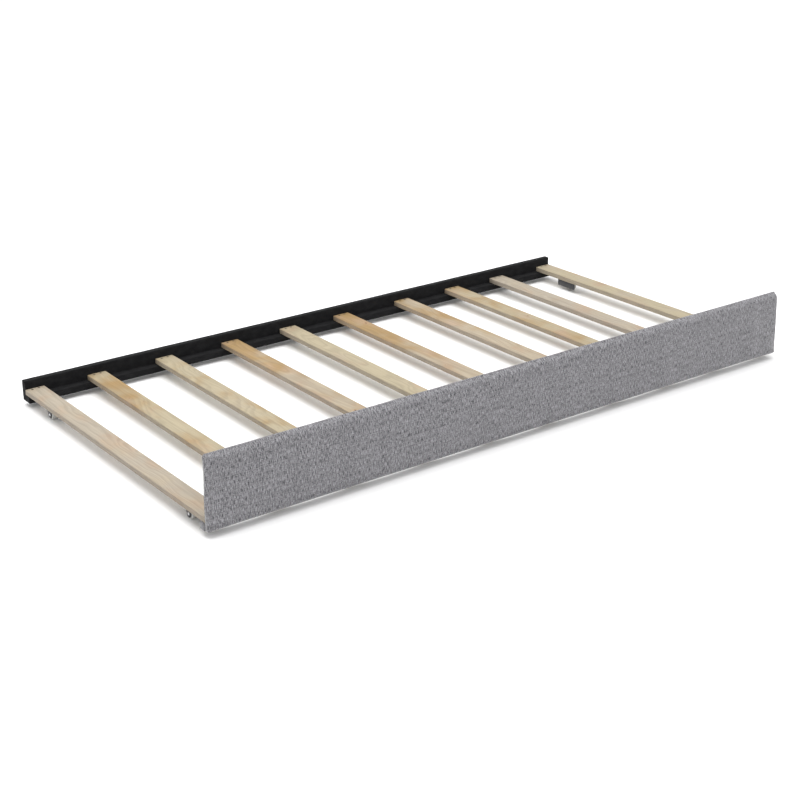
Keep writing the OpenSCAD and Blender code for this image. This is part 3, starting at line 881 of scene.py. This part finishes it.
def cross_cut(bm, size, depth):
    """Presses a cross recess into a screw head whose face is at z = 0."""
    screw = bpy.data.meshes.new("screw")
    bm.to_mesh(screw)
    bm.free()
    cutter_bm = bmesh.new()
    blade, narrowed = 0.26, 0.45    # a slot's width to its length, and its foot to its mouth
    for turn in (0, 90):
        verts = bmesh.ops.create_cube(cutter_bm, size=1.0)["verts"]
        for v in verts:
            taper = 1.0 if v.co.z > 0 else narrowed
            v.co = Vector((v.co.x * size * taper, v.co.y * size * blade * taper,
                           v.co.z * depth * 2))
        rotate(cutter_bm, verts, math.radians(turn), "Z")
    cutter_mesh = bpy.data.meshes.new("cutter")
    cutter_bm.to_mesh(cutter_mesh)
    cutter_bm.free()
    target = bpy.data.objects.new("target", screw)
    cutter = bpy.data.objects.new("cutter", cutter_mesh)
    for obj in (target, cutter):
        bpy.context.scene.collection.objects.link(obj)
    cut = target.modifiers.new("cut", "BOOLEAN")
    cut.object, cut.operation, cut.solver, cut.use_self = cutter, "DIFFERENCE", "EXACT", True
    result = bmesh.new()
    result.from_object(target, bpy.context.evaluated_depsgraph_get())
    for obj, mesh in ((target, screw), (cutter, cutter_mesh)):
        bpy.data.objects.remove(obj)
        bpy.data.meshes.remove(mesh)
    return result


def point(shank, length):
    """The end of a screw's profile, for a shank of radius shank whose tip is at -length."""
    return [(shank, -length + TIP), (shank * 0.55, -length + 0.001), (0, -length)]


def countersunk(head, length):
    """A countersunk screw along -z with its head's face at z = 0. head is a radius."""
    shank = head / 2
    profile = [(0, 0), (head * 0.55, 0), (head - 0.0002, 0.0), (head, -0.0002),
               (shank * 1.05, -SINK), (shank, -SINK - 0.0005)] + point(shank, length)
    return cross_cut(lathe(profile, TURNED), head * RECESS, 0.0014)


def pan_head(head, length):
    """A pan-head screw along -z. Its head, of radius head, stands on z = 0."""
    shank = head / 2
    profile = [(0, PAN)] + arc(head - 0.0009, PAN - 0.0009, 0.0009, 90, 0, 5)
    profile += [(head, 0.0001), (head - 0.0002, 0.0), (shank, 0.0)] + point(shank, length - PAN)
    bm = lathe(profile, TURNED)
    shift(bm, (0, 0, -PAN))
    bm = cross_cut(bm, head * RECESS, 0.0011)
    shift(bm, (0, 0, PAN))
    return bm


def set_screws(node, make, axis, lie, seat, seed, material):
    """Draws a screw for each of a CAD node's solids, which run along axis. lie turns a screw
    from -z, and seat gives its place from a solid's middle, lowest and highest corner."""
    solids = shells(node)
    _, low, high = solids[0]
    screw = make((high.x - low.x) / 2, high[axis] - low[axis])
    rng = random.Random(seed)
    places = [Matrix.Translation(seat(*solid)) @ lie
              @ Matrix.Rotation(rng.uniform(0, math.pi), 4, "Z") for solid in solids]
    make_object(f"{node}_cross", from_bmesh(copies(screw, places), node), material,
                replaces=(node,))


for node in ("slat_screws_front", "slat_screws_rear"):
    set_screws(node, countersunk, 2, Matrix.Identity(4),
               lambda middle, low, high: (middle.x, middle.y, high.z), 3, DARK_SCREW)
for node, out in (("front_ledger_screws", 1), ("rear_ledger_screws", -1)):
    set_screws(node, countersunk, 1, Matrix.Rotation(math.radians(-90 * out), 4, "X"),
               lambda middle, low, high: (middle.x, high.y if out > 0 else low.y, middle.z),
               5, DARK_SCREW)
set_screws("caster_screws", pan_head, 2, Matrix.Rotation(math.pi, 4, "X"),
           lambda middle, low, high: (middle.x, middle.y, low.z + PAN), 8, ZINC)

for node in ("front_staples", "rear_staples"):
    make_object(f"{node}_wire", refined(node, 0.00022), ZINC, replaces=(node,))


# --------------------------------------------------------------------- casters

BORE = 0.00258          # radius of the wheel's hole
TREAD = 0.0065          # half the width of the wheel's tread
HUB = 0.0055            # radius of the wheel's hub
WEB = 0.0040            # half the thickness of the web, between the hub and the rim
RIBS = 6                # on each side
RIB_WIDTH = 0.0011
FOLD = 0.0012           # rounding of a fold in sheet steel
SHANK = 0.0025          # radius of the rivet between its heads
DOME = 0.0014           # height of a rivet's head


def along_y(edge):
    """Is the edge a fold of a fork or an angle, which runs along y?"""
    a, b = (v.co for v in edge.verts)
    return abs(a.y - b.y) > 0.03 and abs(a.x - b.x) < 1e-5 and abs(a.z - b.z) < 1e-5


def wheel_mesh(diameter, hub_width):
    """A moulded wheel about x: crowned tread, dished web with ribs, and a raised hub."""
    r, w, hub_w = diameter / 2, TREAD, hub_width / 2
    rim, foot = r - 0.0035, WEB + 0.0008
    half = [(BORE, 0.0), (BORE, hub_w - 0.0005)]
    half += arc(BORE + 0.0005, hub_w - 0.0005, 0.0005, 180, 90, 3)
    half += arc(HUB - 0.0007, hub_w - 0.0007, 0.0007, 90, 0, 4)
    half += [(HUB + 0.0003, foot)] + arc(HUB + 0.0011, foot, 0.0008, 180, 270, 4)
    half += arc(rim - 0.0011, foot, 0.0008, 270, 360, 4)
    half += [(rim - 0.0002, w - 0.0005)] + arc(rim + 0.0002, w - 0.0004, 0.0004, 180, 90, 3)
    half += arc(r - 0.0020, w - 0.0020, 0.0020, 90, 8, 7)
    half += [(r, w * 0.35), (r, 0.0)]
    mirrored = [(radius, -height) for radius, height in half[-2:0:-1]]
    bm = lathe(half + mirrored + [half[0]], 72)
    bmesh.ops.remove_doubles(bm, verts=bm.verts, dist=1e-6)
    bmesh.ops.recalc_face_normals(bm, faces=bm.faces)
    for side, _ in SIDES:
        for k in range(RIBS):
            cube = bmesh.ops.create_cube(bm, size=1.0)["verts"]
            for v in cube:
                v.co = Vector((HUB - 0.0002 + (v.co.x + 0.5) * (rim - HUB + 0.0001),
                               v.co.y * RIB_WIDTH,
                               side * (WEB - 0.0004 + (v.co.z + 0.5) * 0.0020)))
            made = bevel(bm, list({e for v in cube for e in v.link_edges}), 0.0003, 2)
            rib = list({v for f in made["faces"] for v in f.verts})
            rotate(bm, rib, math.radians(360 / RIBS * k + 15), "Z")
    rotate(bm, bm.verts, math.radians(90), "Y")
    return bm


def rivet_mesh(head, width):
    """A rivet about x with a domed head of radius head at each end."""
    face = width / 2 - DOME
    angles = [math.pi / 2 * i / 7 for i in range(1, 7)]
    half = [(0, width / 2)] + [(head * math.sin(a), face + DOME * math.cos(a)) for a in angles]
    half += [(head, face + 0.0001), (head - 0.0001, face), (SHANK, face)]
    bm = lathe(half + [(radius, -height) for radius, height in half[::-1]], 48)
    rotate(bm, bm.verts, math.radians(90), "Y")
    return bm


for k, caster in enumerate(CASTERS):
    for node, steel in ((f"caster_angle_{caster}", BLACK_STEEL),
                        (f"caster_fork_{caster}", FORK_STEEL)):
        make_object(f"{node}_bent", refined(node, 0.0003, bends=((along_y, FOLD),)), steel,
                    replaces=(node,))
    low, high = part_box(f"caster_axle_{caster}")
    bm = rivet_mesh((high.z - low.z) / 2, high.x - low.x)
    shift(bm, (low + high) / 2)
    make_object(f"caster_rivet_{caster}", from_bmesh(bm, "rivet"), ZINC,
                replaces=(f"caster_axle_{caster}",))
    wheel = f"wheel_{caster}"
    low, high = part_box(wheel)
    bm = wheel_mesh(high.z - low.z, high.x - low.x)
    rotate(bm, bm.verts, 0.4 + k, "X")  # no two wheels stopped at the same turn
    shift(bm, (low + high) / 2)
    make_object(f"{wheel}_moulded", from_bmesh(bm, "wheel"), NYLON, body=wheel, replaces=(wheel,))


# -------------------------------------------- wood and board inside the wraps


def long_edge(edge):
    """Is the edge one of a board's own, and not part of a screw hole's rim?"""
    return edge.calc_length() > 0.012


low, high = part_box("rear_ledger")
LEDGER_WOOD = softwood("ledger_wood", 5, (low + high) / 2, PALE, HONEY, WARM)
for node, material in (("rear_board", BOARD), ("rear_ledger", LEDGER_WOOD),
                       ("front_ledger", LEDGER_WOOD)):
    make_object(f"{node}_eased", refined(node, 0.0002, bends=((long_edge, 0.0014),)), material,
                replaces=(node,))


# -------------------------------------------------------- floor, light, camera

FLOOR_REACH = 30.0
s = Shader("floor", {"Roughness": 0.85, "Specular IOR Level": 0.1})
tone = s.noise(s.place(), scale=0.0009)
floor_mesh = bpy.data.meshes.new("floor")
corners = [(x * FLOOR_REACH, y * FLOOR_REACH, 0) for x, y in ((-1, -1), (1, -1), (1, 1), (-1, 1))]
floor_mesh.from_pydata(corners, [], [(0, 1, 2, 3)])
floor_mesh.materials.append(s.finish(s.mix(tone, (0.905, 0.905, 0.905), (0.925, 0.925, 0.925))))
floor = bpy.data.objects.new("floor", floor_mesh)
bpy.context.scene.collection.objects.link(floor)

# Even studio light from all round, stronger from above, from the front and from the right:
# its strength is SKY_LEVEL plus SKY_SLOPE times how far a direction is towards SKY_SIDE
SKY_SIDE = Vector((0.35, -0.35, 0.87)).normalized()
SKY_SLOPE, SKY_LEVEL = 0.55, 0.82
world = bpy.data.worlds.new("studio")
world.use_nodes = True
sky = world.node_tree
background = sky.nodes["Background"]
background.inputs["Color"].default_value = (1.0, 1.0, 1.0, 1.0)
towards = sky.nodes.new("ShaderNodeVectorMath")
towards.operation = "DOT_PRODUCT"
towards.inputs[1].default_value = SKY_SIDE
sky.links.new(sky.nodes.new("ShaderNodeTexCoord").outputs["Generated"], towards.inputs[0])
strength = sky.nodes.new("ShaderNodeMath")
strength.operation = "MULTIPLY_ADD"
strength.inputs[1].default_value, strength.inputs[2].default_value = SKY_SLOPE, SKY_LEVEL
sky.links.new(towards.outputs["Value"], strength.inputs[0])
sky.links.new(strength.outputs[0], background.inputs["Strength"])
bpy.context.scene.world = world


def soft_light(name, place, aim, size, power):
    """A round area light, size metres across and power watts strong."""
    light = bpy.data.lights.new(name, "AREA")
    light.shape, light.size, light.energy = "DISK", size, power
    lamp = bpy.data.objects.new(name, light)
    bpy.context.scene.collection.objects.link(lamp)
    lamp.location = place
    lamp.rotation_euler = (Vector(aim) - Vector(place)).to_track_quat("-Z", "Y").to_euler()


soft_light("overhead", (-0.6, 0.4, 4.2), aim=(0.0, 0.0, 0.0), size=4.5, power=150.0)
soft_light("front_soft", (-1.0, -4.5, 2.4), aim=(0.0, -0.3, 0.1), size=2.6, power=8.0)

# The camera that was fitted to the photograph's straight edges. Angles are in degrees
CAMERA_PLACE = Vector((-2.4210, -3.2474, 1.5877))
CAMERA_TURN, CAMERA_TILT, CAMERA_ROLL = 36.244, 19.132, -0.525
camera_data = bpy.data.cameras.new("camera")
camera_data.lens = 68.671
camera_data.shift_y = -0.1
camera_data.sensor_width = 36.0
camera_data.clip_end = 100.0
camera = bpy.data.objects.new("camera", camera_data)
bpy.context.scene.collection.objects.link(camera)
turn, tilt, roll = (math.radians(a) for a in (CAMERA_TURN, CAMERA_TILT, CAMERA_ROLL))
ahead = Vector((math.sin(turn) * math.cos(tilt), math.cos(turn) * math.cos(tilt), -math.sin(tilt)))
right = Vector((math.cos(turn), -math.sin(turn), 0.0))
up = right.cross(ahead)
rolled_right = right * math.cos(roll) + up * math.sin(roll)
rolled_up = up * math.cos(roll) - right * math.sin(roll)
axes = Matrix((rolled_right, rolled_up, -ahead)).transposed().to_4x4()
camera.matrix_world = Matrix.Translation(CAMERA_PLACE) @ axes
bpy.context.scene.camera = camera
bpy.context.scene.view_settings.view_transform = "Standard"

bpy.context.view_layer.update()
